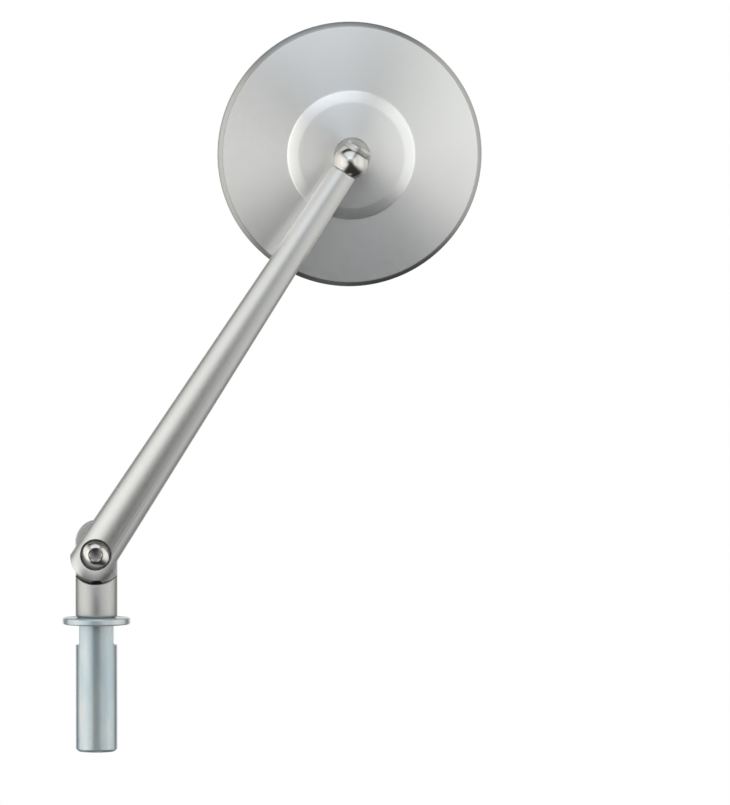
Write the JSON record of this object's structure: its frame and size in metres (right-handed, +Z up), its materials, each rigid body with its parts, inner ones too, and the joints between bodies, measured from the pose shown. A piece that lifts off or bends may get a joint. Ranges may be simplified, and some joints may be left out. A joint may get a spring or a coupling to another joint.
{
  "type": "scooter mirror",
  "caption": "Round rear-view mirror with a satin metal shell on a ball joint, a straight tapered arm, a folding half-lap hinge and a flanged round post for clamping.",
  "frame": {"origin": "on the post's axis, at the top of its clamped round length, just under the spanner flats", "axes": "+Z up along the post, away from its free end; the arm leans towards +X; the glass faces +Y"},
  "size_m": [0.161, 0.039, 0.28],
  "materials": {
    "satin_aluminium": "satin anodised",
    "polished_steel": "polished",
    "zinc_steel": "blue zinc plated",
    "nylon": "natural nylon",
    "mirror_glass": "silvered",
    "black_rubber": "matt"
  },
  "bodies": {
    "base": {"mount_post": "zinc_steel", "base_knuckle": "satin_aluminium", "hinge_screw": "polished_steel", "hinge_spring_washer": "polished_steel", "hinge_friction_disc": "nylon"},
    "arm": {"mirror_arm": "satin_aluminium", "ball_socket": "polished_steel", "seat_spring": "polished_steel", "upper_ball_seat": "nylon"},
    "cup": {"lower_ball_seat": "nylon"},
    "stud": {"ball_stud": "polished_steel", "stud_washer": "polished_steel", "stud_nut": "polished_steel"},
    "head": {"mirror_housing": "satin_aluminium", "mirror_glass": "mirror_glass", "glass_seal": "black_rubber"}
  },
  "joints": [
    {"name": "arm_hinge", "type": "hinge", "parent": "base", "child": "arm", "pos_m": [0, 0, 0.0348], "axis": [0, 1, 0], "range_deg": [-113, 47]},
    {"name": "head_swivel", "type": "hinge", "parent": "arm", "child": "cup", "pos_m": [0.0988, 0, 0.18693], "axis": [0.5446, 0, 0.8387], "range_deg": [-12, 12]},
    {"name": "head_tilt", "type": "hinge", "parent": "cup", "child": "stud", "pos_m": [0.0988, 0, 0.18693], "axis": [0.8333, 0.1132, -0.5411], "range_deg": [-8, 12]},
    {"name": "head_spin", "type": "hinge", "parent": "stud", "child": "head", "pos_m": [0.0988, 0, 0.18693], "axis": [0.0949, -0.9936, -0.0617], "continuous": true}
  ]
}
